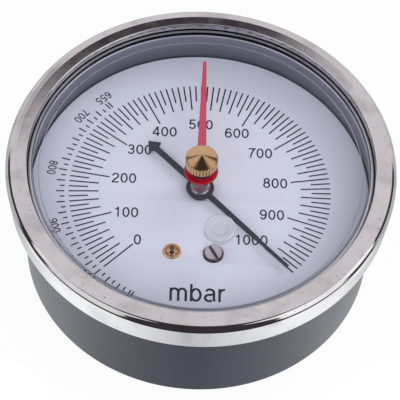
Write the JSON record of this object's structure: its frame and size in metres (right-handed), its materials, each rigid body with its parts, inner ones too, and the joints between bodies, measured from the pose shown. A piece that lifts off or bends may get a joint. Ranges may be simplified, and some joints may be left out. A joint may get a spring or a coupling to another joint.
{
  "type": "vacuum gauge",
  "caption": "Round dial vacuum gauge, back connection, with a knob-set red pointer in a clear window.",
  "frame": {"origin": "on the gauge's axis at the end face of the stem's thread, where the stem enters its port", "axes": "+Z along the axis out of the dial towards the viewer, +Y towards the dial's 500 mark (12 o'clock), +X towards 3 o'clock"},
  "size_m": [0.1106, 0.1106, 0.0794],
  "materials": {
    "case_paint": "satin dark grey paint",
    "bezel_chrome": "polished plated sheet with fine pits",
    "window_clear": "clear moulded acrylic",
    "seal_rubber": "dull black",
    "plug_clear": "milky translucent plastic",
    "knob_brass": "turned and polished",
    "steel": "turned steel",
    "red_paint": "smooth red paint",
    "pointer_black": "satin black paint",
    "dial_white": "matt white print",
    "movement_brass": "stamped and deburred",
    "socket_brass": "machined bar",
    "tube_bronze": "drawn phosphor bronze"
  },
  "bodies": {
    "root": {"case": "case_paint", "bezel_ring": "bezel_chrome", "window": "window_clear", "window_gasket": "seal_rubber", "dial": "dial_white", "dial_rivet": "knob_brass", "dial_posts": "movement_brass", "hairspring": "tube_bronze", "hairspring_stud": "movement_brass", "carrier_plate": "movement_brass", "front_plate": "movement_brass", "plate_pillars": "movement_brass", "plate_screws": "steel", "carrier_screws": "steel", "bourdon_tube": "tube_bronze", "socket": "socket_brass", "channel_plug": "steel", "socket_seal": "seal_rubber", "process_stem": "socket_brass", "restrictor": "steel", "case_screws": "steel", "blowout_plug": "seal_rubber"},
    "sector": {"sector_gear": "movement_brass", "sector_arbor": "steel", "tail_pin": "steel"},
    "pointer": {"pointer": "pointer_black", "pointer_hub": "steel", "pinion_arbor": "steel", "hairspring_collet": "movement_brass"},
    "link": {"link": "steel"},
    "tube_tip": {"tube_tip": "movement_brass", "tip_pin": "steel"},
    "set_hand": {"set_knob": "knob_brass", "set_shaft": "steel", "set_spring_washer": "steel", "set_hub": "red_paint", "set_pointer": "red_paint"},
    "adjuster": {"adjusting_screw": "steel"},
    "plug": {"window_plug": "plug_clear"}
  },
  "joints": [
    {"name": "sector_swing", "type": "hinge", "parent": "root", "child": "sector", "pos_m": [0.021, 0, 0.0498], "axis": [0, 0, 1], "range_deg": [-30.12, 0.6]},
    {"name": "pointer_turn", "type": "hinge", "parent": "root", "child": "pointer", "pos_m": [0, 0, 0.0498], "axis": [0, 0, 1], "range_deg": [-5.41, 271.1], "deforming": ["hairspring"]},
    {"name": "link_swing", "type": "hinge", "parent": "sector", "child": "link", "pos_m": [0.02969, 0.00234, 0.0511], "axis": [0, 0, 1], "range_deg": [-0.61, 30.13]},
    {"name": "tube_tip_travel", "type": "slide", "parent": "root", "child": "tube_tip", "axis": [0, 1, 0], "range_m": [-0.0047, 0.0001], "deforming": ["bourdon_tube"]},
    {"name": "set_pointer_turn", "type": "hinge", "parent": "root", "child": "set_hand", "pos_m": [0, 0, 0.0702], "axis": [0, 0, 1], "continuous": true},
    {"name": "adjusting_screw_turn", "type": "hinge", "parent": "root", "child": "adjuster", "pos_m": [0.00407, -0.02116, 0.057], "axis": [0, 0, 1], "range_deg": [-90, 90]},
    {"name": "window_plug_pull", "type": "slide", "parent": "root", "child": "plug", "axis": [0, 0, 1], "range_m": [0, 0.01]}
  ],
  "couplings": [
    {"joint": "pointer_turn", "follows": "sector_swing", "ratio": -9},
    {"joint": "link_swing", "follows": "sector_swing", "ratio": -1},
    {"joint": "tube_tip_travel", "follows": "sector_swing", "m_per_rad": 0.008897}
  ]
}
